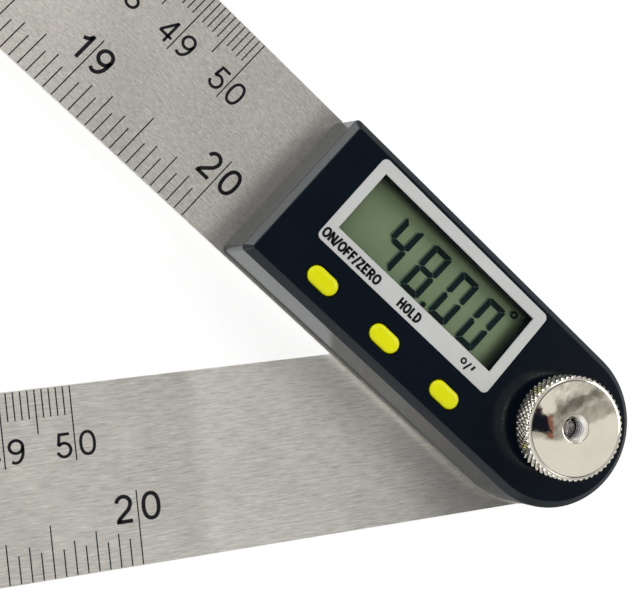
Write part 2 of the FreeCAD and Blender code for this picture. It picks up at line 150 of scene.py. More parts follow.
def brushed_steel(name, turn, length, face, contact=1.0, pivot_tone=1.0, far_edge=0.0):
    """Satin steel with streaks along the blade, longer where length is lower, and cloudy patches.

    Face is the height of the blade's top. Contact is the top's painted shade right at the head's end wall,
    and pivot_tone the painted shade round the pivot, both where the head's shadow falls. Far_edge is the
    gain of a painted sheen on the +Y edge near the head.
    """
    made, tree, shader = material(name)
    place = object_place(tree, turn)
    fine = noise(tree, place, 1.0, (2.2 * length, 6500, 1), detail=3.0, roughness=0.6)
    streak = noise(tree, place, 1.0, (length, 3000, 1), detail=3.0, roughness=0.6)
    cloud = noise(tree, place, 95.0, detail=3.0)
    along, aside, above = split(tree, place)
    grain = math_node(tree, "ADD", math_node(tree, "MULTIPLY", fine, 0.55),
                      math_node(tree, "MULTIPLY", streak, 0.45))
    tone = spread(tree, grain, 0.34, 0.66, 0.0, 1.0)
    colour = mixed(tree, tone, (0.62, 0.60, 0.555), (1.0, 0.975, 0.915))
    # Painted sheen: from 51.5 mm before the pivot on, the steel is lighter by a step, and more so towards
    # the +Y edge near the head
    edge_sheen = spread(tree, aside, -0.004, 0.012, 0.08, 0.08 + far_edge)
    sheen_reach = spread(tree, along, -0.0545, -0.0515, 0.0, 1.0, smooth=True)
    painted_sheen = math_node(tree, "ADD", math_node(tree, "MULTIPLY", edge_sheen, sheen_reach), 1.0)
    patch = spread(tree, cloud, 0.35, 0.65, 0.955, 1.04)
    colour = mixed(tree, 1.0, colour, grey(tree, math_node(tree, "MULTIPLY", patch, painted_sheen)), "MULTIPLY")
    # Painted shade on the top: darker towards the pivot and at the foot of the head's end wall, where the
    # head's shadow falls
    pivot_shade_mask = spread(tree, along, -0.028, -0.002, 1.0, pivot_tone, smooth=True)
    end_wall_shade_mask = spread(tree, along, -0.0595, -0.0562, 1.0, contact, smooth=True)
    shade = grey(tree, math_node(tree, "MULTIPLY", pivot_shade_mask, end_wall_shade_mask))
    shaded = mixed(tree, 1.0, colour, shade, "MULTIPLY")
    on_top = spread(tree, above, (face - 0.4) * MM, (face - 0.2) * MM, 0.0, 1.0)
    colour = mixed(tree, on_top, colour, shaded)
    tree.links.new(colour, shader.inputs["Base Color"])
    shader.inputs["Metallic"].default_value = 1.0
    tree.links.new(spread(tree, grain, 0.3, 0.7, 0.34, 0.46), shader.inputs["Roughness"])
    shader.inputs["Anisotropic"].default_value = 0.7
    direction = tree.nodes.new("ShaderNodeVectorTransform")
    direction.vector_type = "VECTOR"
    direction.convert_from = "OBJECT"
    direction.convert_to = "WORLD"
    direction.inputs[0].default_value = (-math.sin(turn), math.cos(turn), 0)
    tree.links.new(direction.outputs[0], shader.inputs["Tangent"])
    bump(tree, shader, grain, 0.25, 0.00002)
    return made


def grey(tree, value):
    node = tree.nodes.new("ShaderNodeCombineColor")
    for socket in node.inputs:
        tree.links.new(value, socket)
    return node.outputs[0]


def moulded(name, dark, light, roughness, grain=5200.0, strength=0.12, specular=0.5, side=None):
    """Moulded plastic with a fine spark-eroded grain and faint cloudiness.

    Side is the colour of the faces that don't look up, where it differs.
    """
    made, tree, shader = material(name)
    place = object_place(tree)
    fine = noise(tree, place, grain, detail=2.0)
    cloud = noise(tree, place, 160.0, detail=2.0)
    colour = mixed(tree, spread(tree, cloud, 0.3, 0.7, 0.0, 1.0), dark, light)
    if side:
        facing = tree.nodes.new("ShaderNodeTexCoord").outputs["Normal"]
        sideways = spread(tree, split(tree, facing)[2], 0.93, 0.99, 1.0, 0.0)
        colour = mixed(tree, sideways, colour, side)
    tree.links.new(colour, shader.inputs["Base Color"])
    rough = spread(tree, fine, 0.3, 0.7, roughness - 0.05, roughness + 0.05)
    tree.links.new(rough, shader.inputs["Roughness"])
    shader.inputs["Specular IOR Level"].default_value = specular
    bump(tree, shader, fine, strength, 0.00003)
    return made


def metal(name, dark, light, roughness, scale=900.0, stretch=(1, 1, 1), strength=0.1):
    made, tree, shader = material(name)
    place = object_place(tree)
    wear = noise(tree, place, scale, stretch, detail=3.0)
    colour = mixed(tree, spread(tree, wear, 0.3, 0.7, 0.0, 1.0), dark, light)
    tree.links.new(colour, shader.inputs["Base Color"])
    rough = spread(tree, wear, 0.3, 0.7, roughness * 0.8, roughness * 1.25)
    tree.links.new(rough, shader.inputs["Roughness"])
    shader.inputs["Metallic"].default_value = 1.0
    bump(tree, shader, wear, strength, 0.00002)
    return made


def clear_lens():
    """Clear window: see-through, with the gloss of its surface on top."""
    made, tree, shader = material("lens_clear")
    tree.nodes.remove(shader)
    output = tree.nodes["Material Output"]
    through = tree.nodes.new("ShaderNodeBsdfTransparent")
    through.inputs["Color"].default_value = (0.96, 0.97, 0.96, 1)
    gloss = tree.nodes.new("ShaderNodeBsdfPrincipled")
    gloss.inputs["Base Color"].default_value = (0.01, 0.01, 0.01, 1)
    gloss.inputs["Roughness"].default_value = 0.06
    slant = tree.nodes.new("ShaderNodeLayerWeight")
    grazing = math_node(tree, "POWER", slant.outputs["Facing"], 4.0)
    mix = tree.nodes.new("ShaderNodeMixShader")
    tree.links.new(spread(tree, grazing, 0.0, 1.0, 0.02, 0.9), mix.inputs[0])
    tree.links.new(through.outputs[0], mix.inputs[1])
    tree.links.new(gloss.outputs[0], mix.inputs[2])
    tree.links.new(mix.outputs[0], output.inputs["Surface"])
    return made


def lcd_glass():
    """Olive panel, darker where the window's walls shade it."""
    made, tree, shader = material("lcd_glass")
    place = object_place(tree)
    x, y, z = split(tree, place)
    window_right = bezel_high.x - 1.7
    window_top = bezel_high.y - 1.8
    right = spread(tree, x, (window_right - 2.3) * MM, (window_right - 0.1) * MM, 0.0, 0.9, smooth=True)
    top = spread(tree, y, (window_top - 1.2) * MM, (window_top + 0.1) * MM, 0.0, 0.9, smooth=True)
    shade = math_node(tree, "MAXIMUM", right, top)
    cloud = noise(tree, place, 240.0, detail=2.0)
    tone = spread(tree, cloud, 0.35, 0.65, 0.0, 1.0)
    olive = mixed(tree, tone, (0.222, 0.298, 0.172), (0.248, 0.324, 0.188))
    colour = mixed(tree, shade, olive, (0.012, 0.022, 0.014))
    tree.links.new(colour, shader.inputs["Base Color"])
    shader.inputs["Roughness"].default_value = 0.35
    return made


def ink(name, colour, other, roughness=0.45):
    made, tree, shader = material(name)
    place = object_place(tree)
    speck = noise(tree, place, 3000.0, detail=2.0)
    tree.links.new(mixed(tree, speck, colour, other), shader.inputs["Base Color"])
    rough = spread(tree, speck, 0.3, 0.7, roughness - 0.06, roughness + 0.06)
    tree.links.new(rough, shader.inputs["Roughness"])
    shader.inputs["Specular IOR Level"].default_value = 0.15
    return made


def polished_nickel():
    made, tree, shader = material("knob_nickel")
    place = object_place(tree)
    smear = noise(tree, place, 170.0, detail=3.0)
    lap = noise(tree, place, 1.0, (700, 1000, 260), detail=3.0)
    tone = spread(tree, smear, 0.3, 0.7, 0.0, 1.0)
    colour = mixed(tree, tone, (0.78, 0.745, 0.66), (0.87, 0.835, 0.745))
    x, y, z = split(tree, place)
    radius = math_node(tree, "SQRT", math_node(tree, "ADD", math_node(tree, "MULTIPLY", x, x),
                                               math_node(tree, "MULTIPLY", y, y)))
    # Painted shade in the bore below its mouth's edge: darker in the thread's grooves and deeper down
    in_bore = spread(tree, radius, 2.02 * MM, 2.08 * MM, 1.0, 0.0)
    groove_shade = spread(tree, radius, 1.68 * MM, 1.90 * MM, 1.0, 0.12, smooth=True)
    depth = spread(tree, z, (knob_high.z - 3.0) * MM, (knob_high.z - 0.9) * MM, 0.25, 1.0)
    bore_shade = grey(tree, math_node(tree, "MULTIPLY", groove_shade, depth))
    edge_free = spread(tree, z, (knob_high.z - 0.55) * MM, (knob_high.z - 0.45) * MM, 1.0, 0.0)
    colour = mixed(tree, math_node(tree, "MULTIPLY", in_bore, edge_free), colour, bore_shade)
    tree.links.new(colour, shader.inputs["Base Color"])
    shader.inputs["Metallic"].default_value = 1.0
    tree.links.new(spread(tree, smear, 0.3, 0.7, 0.008, 0.024), shader.inputs["Roughness"])
    normal = bump(tree, shader, smear, 0.03, 0.0002)
    bump(tree, shader, lap, 0.015, 0.00003, under=normal)
    return made


steel_upper = brushed_steel("rule_steel_upper", 0.0, 800, upper_face, contact=0.62)
steel_lower = brushed_steel("rule_steel_lower", ARM_TURN, 260, lower_face, pivot_tone=0.45, far_edge=0.11)
housing_plastic = moulded("housing_plastic", (0.0030, 0.0062, 0.0112), (0.0038, 0.0074, 0.0130), 0.17,
                          strength=0.08, specular=0.2, side=(0.018, 0.023, 0.028))
bezel_silver = moulded("bezel_silver", (0.545, 0.555, 0.545), (0.60, 0.61, 0.60), 0.42, 7000.0, 0.15)
button_plastic = moulded("button_yellow", (0.76, 0.77, 0.0), (0.81, 0.82, 0.0), 0.30, 3000.0, 0.05,
                         specular=0.3)
door_plastic = moulded("door_plastic", (0.006, 0.008, 0.011), (0.009, 0.011, 0.015), 0.4)
black_plastic = moulded("black_plastic", (0.004, 0.004, 0.004), (0.008, 0.008, 0.008), 0.5)
board_green = moulded("board_green", (0.004, 0.05, 0.018), (0.008, 0.08, 0.03), 0.3, 900.0)
spacer_nylon = moulded("spacer_nylon", (0.66, 0.65, 0.60), (0.75, 0.74, 0.69), 0.45)
zebra_rubber = moulded("zebra_rubber", (0.10, 0.10, 0.09), (0.45, 0.45, 0.42), 0.6, 2500.0)
component_tan = moulded("component_tan", (0.30, 0.22, 0.13), (0.42, 0.33, 0.20), 0.5)
screw_steel = metal("screw_steel", (0.42, 0.42, 0.43), (0.60, 0.60, 0.61), 0.3)
battery_steel = metal("battery_steel", (0.62, 0.62, 0.60), (0.76, 0.76, 0.74), 0.25, 400.0, (1, 8, 1))
contact_spring = metal("contact_spring", (0.60, 0.52, 0.36), (0.72, 0.64, 0.46), 0.28)
bush_brass = metal("bush_brass", (0.60, 0.44, 0.18), (0.72, 0.55, 0.26), 0.26)
stud_nickel = metal("stud_nickel", (0.68, 0.66, 0.63), (0.82, 0.80, 0.76), 0.2)
ring_steel = metal("ring_steel", (0.10, 0.10, 0.11), (0.17, 0.17, 0.18), 0.4)
washer_steel = metal("washer_steel", (0.30, 0.30, 0.31), (0.42, 0.42, 0.42), 0.35)
knob_nickel = polished_nickel()
rule_ink = ink("rule_ink", (0.006, 0.006, 0.008), (0.014, 0.014, 0.018))
label_ink = ink("label_ink", (0.004, 0.004, 0.005), (0.010, 0.010, 0.012))
lcd_dark = ink("lcd_dark", (0.0012, 0.0110, 0.0125), (0.0022, 0.0130, 0.0145))
lcd_shadow = ink("lcd_shadow", (0.070, 0.114, 0.089), (0.076, 0.122, 0.094))
lcd_soft_shadow = ink("lcd_soft_shadow", (0.142, 0.208, 0.138), (0.149, 0.217, 0.141))

node_materials = {
    "upper_blade": steel_upper, "lower_blade": steel_lower, "head_housing": housing_plastic,
    "bezel_frame": bezel_silver, "display_lens": clear_lens(), "lcd_panel": lcd_glass(),
    "lcd_holder": black_plastic, "zebra_strips": zebra_rubber, "main_pcb": board_green,
    "controller_chip": black_plastic, "pcb_components": component_tan, "tact_switches": washer_steel,
    "case_screws": screw_steel, "pcb_screws": screw_steel, "battery_tray": black_plastic,
    "coin_battery": battery_steel, "positive_contact": contact_spring, "negative_contact": contact_spring,
    "battery_door": door_plastic, "pivot_stud": stud_nickel, "pivot_bush": bush_brass,
    "spacer_washer": spacer_nylon, "rotor_disc": board_green, "retaining_ring": ring_steel,
    "knob_washer": washer_steel, "clamp_knob": knob_nickel, "zero_button": button_plastic,
    "hold_button": button_plastic, "unit_button": button_plastic,
}
for name, finish in node_materials.items():
    slots = nodes[name].data.materials
    slots.clear()
    slots.append(finish)


# Thin raised shapes: scale marks, numerals, printed words and display segments
SHARPEST_MITRE = 0.35           # least cosine of half a bend that a stroke's corner follows


class Plates:
    """Collects closed thin solids and makes one mesh of them."""

    def __init__(self, low, high):
        self.low = low
        self.high = high
        self.points = []
        self.faces = []

    def prism(self, outline):
        count = len(outline)
        first = len(self.points)
        self.points += [(x, y, self.low) for x, y in outline]
        self.points += [(x, y, self.high) for x, y in outline]
        self.faces.append([first + i for i in reversed(range(count))])
        self.faces.append([first + count + i for i in range(count)])
        for i in range(count):
            after = (i + 1) % count
            self.faces.append([first + i, first + after, first + count + after, first + count + i])

    def ribbon(self, path, width):
        """A stroke of even width along a path. A path that ends where it starts makes a ring."""
        closed = math.dist(path[0], path[-1]) < 1e-6
        path = path[:-1] if closed else path
        count = len(path)
        left, right = [], []
        for i, (x, y) in enumerate(path):
            before = path[(i - 1) % count] if closed or i > 0 else None
            after = path[(i + 1) % count] if closed or i < count - 1 else None
            normals = []
            for start, stop in ((before, (x, y)), ((x, y), after)):
                if start is not None and stop is not None:
                    run = math.dist(start, stop)
                    normals.append((-(stop[1] - start[1]) / run, (stop[0] - start[0]) / run))
            nx = sum(n[0] for n in normals)
            ny = sum(n[1] for n in normals)
            size = math.hypot(nx, ny)
            nx, ny = nx / size, ny / size
            reach = width / 2 / max(SHARPEST_MITRE, nx * normals[0][0] + ny * normals[0][1])
            left.append((x + nx * reach, y + ny * reach))
            right.append((x - nx * reach, y - ny * reach))
        first = len(self.points)
        for z in (self.low, self.high):
            for side in (left, right):
                self.points += [(x, y, z) for x, y in side]
        low_left, low_right, high_left, high_right = (first + k * count for k in range(4))
        last = count if closed else count - 1
        for i in range(last):
            j = (i + 1) % count
            self.faces.append([high_right + i, high_right + j, high_left + j, high_left + i])
            self.faces.append([low_right + j, low_right + i, low_left + i, low_left + j])
            self.faces.append([low_right + i, low_right + j, high_right + j, high_right + i])
            self.faces.append([low_left + j, low_left + i, high_left + i, high_left + j])
        if not closed:
            end = count - 1
            self.faces.append([low_left, low_right, high_right, high_left])
            self.faces.append([low_right + end, low_left + end, high_left + end, high_right + end])

    def build(self, name, finish, body, turn=0.0):
        mesh = bpy.data.meshes.new(name)
        mesh.from_pydata([Vector(point) * MM for point in self.points], [], self.faces)
        mesh.transform(Matrix.Rotation(turn, 4, "Z"))
        return place_piece(name, mesh, finish, body)


def place_piece(name, mesh, finish, body):
    mesh.materials.append(finish)
    piece = bpy.data.objects.new(name, mesh)
    scene.collection.objects.link(piece)
    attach(piece, body)
    return piece


def arc(x, y, rx, ry, start, stop, power=2.0):
    """Points on an ellipse, or a squarer curve where power is over 2. Angles in degrees."""
    steps = max(3, int(abs(stop - start) / 15))
    points = []
    for i in range(steps + 1):
        angle = math.radians(start + (stop - start) * i / steps)
        c, s = math.cos(angle), math.sin(angle)
        points.append((x + rx * math.copysign(abs(c) ** (2 / power), c),
                       y + ry * math.copysign(abs(s) ** (2 / power), s)))
    if abs(stop - start) == 360:
        points[-1] = points[0]
    return points


# Centre lines of the characters, one unit high, with the width that each takes
LINES = {
    "0": (0.66, [arc(0.33, 0.5, 0.265, 0.445, 90, 450, 2.25)]),
    "1": (0.50, [[(0.36, 0.0), (0.36, 1.0)], [(0.36, 0.94), (0.28, 0.82), (0.20, 0.76), (0.09, 0.71)]]),
    "2": (0.64, [arc(0.32, 0.70, 0.24, 0.245, 172, -18)
                 + [(0.48, 0.47), (0.30, 0.30), (0.16, 0.17), (0.10, 0.06)],
                 [(0.04, 0.055), (0.60, 0.055)]]),
    "3": (0.64, [arc(0.31, 0.735, 0.205, 0.21, 165, -90), arc(0.31, 0.29, 0.255, 0.235, 90, -165)]),
    "4": (0.66, [[(0.455, 0.0), (0.455, 1.0)], [(0.44, 0.96), (0.06, 0.31)],
                 [(0.02, 0.285), (0.64, 0.285)]]),
    "5": (0.64, [[(0.56, 0.945), (0.17, 0.945), (0.115, 0.50)],
                 arc(0.315, 0.325, 0.255, 0.27, 142, -165)]),
    "6": (0.64, [arc(0.325, 0.31, 0.255, 0.255, 90, 450), arc(0.37, 0.47, 0.30, 0.47, 60, 200)]),
    "7": (0.62, [[(0.05, 0.945), (0.56, 0.945)],
                 [(0.55, 0.94), (0.38, 0.66), (0.28, 0.38), (0.235, 0.0)]]),
    "8": (0.64, [arc(0.32, 0.745, 0.20, 0.20, 90, 450), arc(0.32, 0.285, 0.255, 0.23, 90, 450)]),
    "9": (0.64, [arc(0.315, 0.69, 0.255, 0.255, 90, 450), arc(0.27, 0.53, 0.30, 0.47, -120, 20)]),
    "O": (0.72, [arc(0.36, 0.5, 0.27, 0.40, 90, 450, 2.3)]),
    "N": (0.72, [[(0.12, 0.0), (0.12, 1.0)], [(0.60, 0.0), (0.60, 1.0)], [(0.14, 0.93), (0.58, 0.07)]]),
    "F": (0.58, [[(0.12, 0.0), (0.12, 1.0)], [(0.06, 0.90), (0.54, 0.90)], [(0.06, 0.50), (0.48, 0.50)]]),
    "Z": (0.60, [[(0.05, 0.90), (0.54, 0.90)], [(0.46, 0.86), (0.12, 0.14)],
                 [(0.04, 0.10), (0.56, 0.10)]]),
    "E": (0.62, [[(0.12, 0.0), (0.12, 1.0)], [(0.06, 0.90), (0.56, 0.90)], [(0.06, 0.50), (0.50, 0.50)],
                 [(0.06, 0.10), (0.58, 0.10)]]),
    "R": (0.68, [[(0.12, 0.0), (0.12, 1.0)],
                 [(0.06, 0.90), (0.30, 0.90)] + arc(0.32, 0.70, 0.20, 0.20, 80, -80)
                 + [(0.30, 0.50), (0.06, 0.50)],
                 [(0.32, 0.50), (0.58, 0.0)]]),
    "H": (0.72, [[(0.12, 0.0), (0.12, 1.0)], [(0.60, 0.0), (0.60, 1.0)], [(0.06, 0.52), (0.66, 0.52)]]),
    "L": (0.58, [[(0.12, 0.0), (0.12, 1.0)], [(0.06, 0.10), (0.54, 0.10)]]),
    "D": (0.72, [[(0.12, 0.0), (0.12, 1.0)],
                 [(0.06, 0.90), (0.28, 0.90)] + arc(0.28, 0.5, 0.32, 0.40, 75, -75)
                 + [(0.28, 0.10), (0.06, 0.10)]]),
    "/": (0.40, [[(0.05, -0.05), (0.33, 1.05)]]),
}


def write(plates, text, x, y, height, stroke, squeeze=1.0, gap=0.0):
    """Writes text with its lower left corner at x, y and returns where it ends."""
    for character in text:
        width, paths = LINES[character]
        for path in paths:
            placed = [(x + px * height * squeeze, y + py * height) for px, py in path]
            plates.ribbon(placed, stroke)
        x += width * height * squeeze + gap
    return x - gap


# Scales of both blades: millimetres on the +Y edge, sixteenths of an inch on the -Y edge
MARK_WIDTH = 0.185
MARK_PROUD = 0.02
MARK_SUNK = 0.01
METRIC_LENGTHS = ((10, 11.1), (5, 6.6), (1, 4.3))
INCH_LENGTHS = ((16, 11.3), (8, 7.9), (4, 6.1), (2, 5.2), (1, 4.2))
METRIC_RANGE = 500
INCH_RANGE = 20 * 16
METRIC_DIGIT = 3.7
METRIC_DIGIT_TOP = 6.9          # blade edge to the top of the numerals
METRIC_STROKE = 0.44
METRIC_SPACES = (0.42, 0.56)    # long line to the numerals on its left and right
INCH_DIGIT = 4.2
INCH_DIGIT_BASE = 6.6           # blade edge to the foot of the numerals
INCH_STROKE = 0.58
INCH_SPACES = (0.70, 0.58)
EDGE_SPACE = 0.12               # blade edge to the foot of a mark


def numeral(plates, number, x, base, height, stroke, spaces):
    """One or two digits, the first on the left of the long line at x and the second on its right."""
    text = str(number)
    width = LINES[text[0]][0] * height
    write(plates, text[0], x - spaces[0] - width, base, height, stroke)
    if len(text) == 2:
        write(plates, text[1], x + spaces[1], base, height, stroke)


def mark_length(count, lengths):
    return next(length for step, length in lengths if count % step == 0)


def scale_marks(name, face, body, turn, inch_shift):
    plates = Plates(face - MARK_SUNK, face + MARK_PROUD)
    half = MARK_WIDTH / 2
    top = blade_half - EDGE_SPACE
    for count in range(1, METRIC_RANGE + 1):
        x = blade_end + count
        foot = blade_half - mark_length(count, METRIC_LENGTHS)
        plates.prism([(x - half, foot), (x + half, foot), (x + half, top), (x - half, top)])
        if count % 10 == 0:
            base = blade_half - METRIC_DIGIT_TOP - METRIC_DIGIT
            numeral(plates, count // 10, x, base, METRIC_DIGIT, METRIC_STROKE, METRIC_SPACES)
    for count in range(1, INCH_RANGE + 1):
        x = blade_end + inch_shift + 25.4 * count / 16
        head = -blade_half + mark_length(count, INCH_LENGTHS)
        plates.prism([(x - half, -top), (x + half, -top), (x + half, head), (x - half, head)])
        if count % 16 == 0:
            base = -blade_half + INCH_DIGIT_BASE
            numeral(plates, count // 16, x, base, INCH_DIGIT, INCH_STROKE, INCH_SPACES)
    plates.build(name, rule_ink, body, turn)


scale_marks("upper_scale", upper_face, "head", 0.0, 0.25)
scale_marks("lower_scale", lower_face, "lower_arm", ARM_TURN, 0.0)


# Display: seven-segment digits on the panel, with the soft shadow they cast on its back
DIGIT_WIDTH = 3.62
DIGIT_HEIGHT = 8.56
DIGIT_BASE = -0.52
DIGIT_LEFTS = (-38.67, -32.69, -26.69, -20.82)
DIGIT_SLANT = 0.045
SEGMENT = 0.92
SEGMENT_GAP = 0.06
SEGMENT_CUT = 0.42              # cut across the digits' outer corners
SEGMENTS = {"4": "fgbc", "8": "abcdefg", "0": "abcdef"}
READING = "4800"                # 48.00 degrees, the angle between the blades at rest
DECIMAL_POINT = (-27.76, -0.2)
POINT_RADIUS = 0.42
DEGREE_SIGN = (-15.61, 8.55)
DEGREE_RADIUS = 0.45
DEGREE_STROKE = 0.34


def segment_outlines():
    """The seven segments of a digit, mitred where they meet."""
    w, h, t, g, cut = DIGIT_WIDTH, DIGIT_HEIGHT, SEGMENT, SEGMENT_GAP, SEGMENT_CUT
    mid = h / 2
    inner, outer = (cut - g) / 2, (cut + g) / 2
    upper_left = [(0, h - cut), (0, mid + g + t * 0.3), (t * 0.35, mid + g), (t, mid + t * 0.45 + g),
                  (t, h - t - g), (inner, h - outer)]
    shapes = {
        "a": [(cut, h), (outer, h - inner), (g + t, h - t), (w - g - t, h - t), (w - outer, h - inner),
              (w - cut, h)],
        "f": upper_left,
        "b": [(w - x, y) for x, y in reversed(upper_left)],
        "e": [(x, h - y) for x, y in reversed(upper_left)],
        "c": [(w - x, h - y) for x, y in upper_left],
        "d": [(cut, 0), (w - cut, 0), (w - outer, inner), (w - g - t, t), (g + t, t), (outer, inner)],
        "g": [(t * 0.45 + g, mid), (t + g, mid - t / 2), (w - t - g, mid - t / 2), (w - t * 0.45 - g, mid),
              (w - t - g, mid + t / 2), (t + g, mid + t / 2)],
    }
    return shapes


def area(outline):
    return sum(a[0] * b[1] - b[0] * a[1] for a, b in zip(outline, outline[1:] + outline[:1])) / 2


def display_layer(name, finish, low, high, shift):
    plates = Plates(low, high)
    shapes = segment_outlines()
    for left, digit in zip(DIGIT_LEFTS, READING):
        for key in SEGMENTS[digit]:
            outline = [(left + x + DIGIT_SLANT * y + shift[0], DIGIT_BASE + y + shift[1])
                       for x, y in shapes[key]]
            plates.prism(outline if area(outline) > 0 else outline[::-1])
    point_x, point_y = DECIMAL_POINT
    plates.prism(arc(point_x + shift[0], point_y + shift[1], POINT_RADIUS, POINT_RADIUS, 0, 345))
    sign_x, sign_y = DEGREE_SIGN
    circle = arc(sign_x + shift[0], sign_y + shift[1], DEGREE_RADIUS, DEGREE_RADIUS, 0, 360)
    plates.ribbon(circle, DEGREE_STROKE)
    plates.build(name, finish, "head")


display_layer("lcd_soft_shadow", lcd_soft_shadow, lcd_high.z - 0.01, lcd_high.z + 0.01, (-0.36, -0.08))
display_layer("lcd_shadow", lcd_shadow, lcd_high.z - 0.01, lcd_high.z + 0.02, (-0.20, -0.04))
display_layer("lcd_segments", lcd_dark, lcd_high.z - 0.01, lcd_high.z + 0.03, (0.0, 0.0))


# Printed words on the bezel
LABEL_HEIGHT = 1.62
LABEL_BASE = -3.76
LABEL_STROKE = 0.385
labels = Plates(bezel_high.z - 0.01, bezel_high.z + 0.015)


def fitted(text, left, right, gap):
    """A word that fills the space from left to right, with the gap between its characters."""
    natural = sum(LINES[c][0] for c in text) * LABEL_HEIGHT
    squeeze = (right - left - gap * (len(text) - 1)) / natural
    write(labels, text, left, LABEL_BASE, LABEL_HEIGHT, LABEL_STROKE, squeeze, gap)


fitted("ON/OFF/ZERO", -46.96, -35.66, 0.04)
fitted("HOLD", -31.57, -27.22, 0.13)
labels.ribbon(arc(-17.99, -2.76, 0.38, 0.38, 0, 360), 0.30)
labels.ribbon([(-17.28, -3.75), (-16.74, -2.22)], 0.33)
labels.ribbon([(-16.18, -3.05), (-15.98, -2.22)], 0.40)
labels.build("bezel_words", label_ink, "head")


# Buttons: obround caps with a rounded rim
def obround_ring(length, width, inset, steps=10):
    """Points round an obround, moved in by inset."""
    radius = width / 2 - inset
    reach = (length - width) / 2
    points = []
    for side, start in ((1, -90), (-1, 90)):
        for i in range(steps + 1):
            angle = math.radians(start + 180 * i / steps)
            points.append((side * reach + radius * math.cos(angle), radius * math.sin(angle)))
    return points


def stacked(name, rings):
    """A closed skin through rings of points that all have the same count."""
    points = [point for ring in rings for point in ring]
    count = len(rings[0])
    faces = [list(reversed(range(count)))]
    for level in range(len(rings) - 1):
        for i in range(count):
            j = (i + 1) % count
            low, high = level * count, (level + 1) * count
            faces.append([low + i, low + j, high + j, high + i])
    faces.append([(len(rings) - 1) * count + i for i in range(count)])
    mesh = bpy.data.meshes.new(name)
    mesh.from_pydata([Vector(point) * MM for point in points], [], faces)
    return mesh


def button_cap(node):
    low, high = [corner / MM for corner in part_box(node)]
    middle = (low + high) / 2
    flange = 0.8
    flange_height = 0.6
    length = high.x - low.x - 2 * flange
    width = high.y - low.y - 2 * flange
    rim = 0.7
    levels = [(-flange, low.z), (-flange, low.z + flange_height), (0.0, low.z + flange_height),
              (0.0, high.z - rim)]
    levels += [(rim * (1 - math.cos(math.radians(a))), high.z - rim * (1 - math.sin(math.radians(a))))
               for a in (15, 30, 45, 60, 75)]
    levels += [(rim, high.z), (rim + 0.35, high.z + 0.02)]
    rings = []
    for inset, z in levels:
        ring = obround_ring(length, width, inset)
        rings.append([(middle.x + x, middle.y + y, z) for x, y in ring])
    mesh = stacked(node + "_cap", rings)
    mesh.shade_smooth()
    cap = place_piece(node + "_cap", mesh, button_plastic, node)
    sharp = cap.modifiers.new("flange_edges", "EDGE_SPLIT")
    sharp.split_angle = math.radians(50)
    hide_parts(node)


for button in ("zero_button", "hold_button", "unit_button"):
    button_cap(button)


# Clamp knob: diamond knurl, chamfered crown, countersunk bore with a thread
KNURL_COUNT = 54
KNURL_STEPS = 8                 # mesh columns for each knurl
KNURL_ROWS = 44
KNURL_DEPTH = 0.35
KNURL_LEAN = 3.1                # knurls crossed by one groove over the band's height
GROOVE_WIDTH = 0.62             # share of the knurls' pitch
NECK_RADIUS = 5.0
BORE_RADIUS = 2.05
NECK_HEIGHT = 1.4
CROWN_HEIGHT = 0.26
CROWN_CHAMFER = 0.42
CHAMFER_REACH = 0.98            # share of the chamfer at its foot, just inside the knurl's waist
DOME = 0.012                    # rise of the crown's middle
MOUTH_RADIUS = 2.14
MOUTH_EDGE = ((0.06, 0.02), (0.12, 0.07))   # inward and down from the mouth: its rounded edge
THREAD_MINOR = 1.60
THREAD_MAJOR = 1.98
THREAD_PITCH = 0.7
THREAD_TURNS = 4
THREAD_ROWS = 96
BORE_SHARE = 4                  # mesh columns of the outside for one of the bore


def groove(t):
    """Depth of a V groove, 0 on the land and 1 at the bottom, once per unit of t."""
    off = abs((t % 1.0) - 0.5) * 2
    return max(0.0, 1.0 - off / GROOVE_WIDTH)


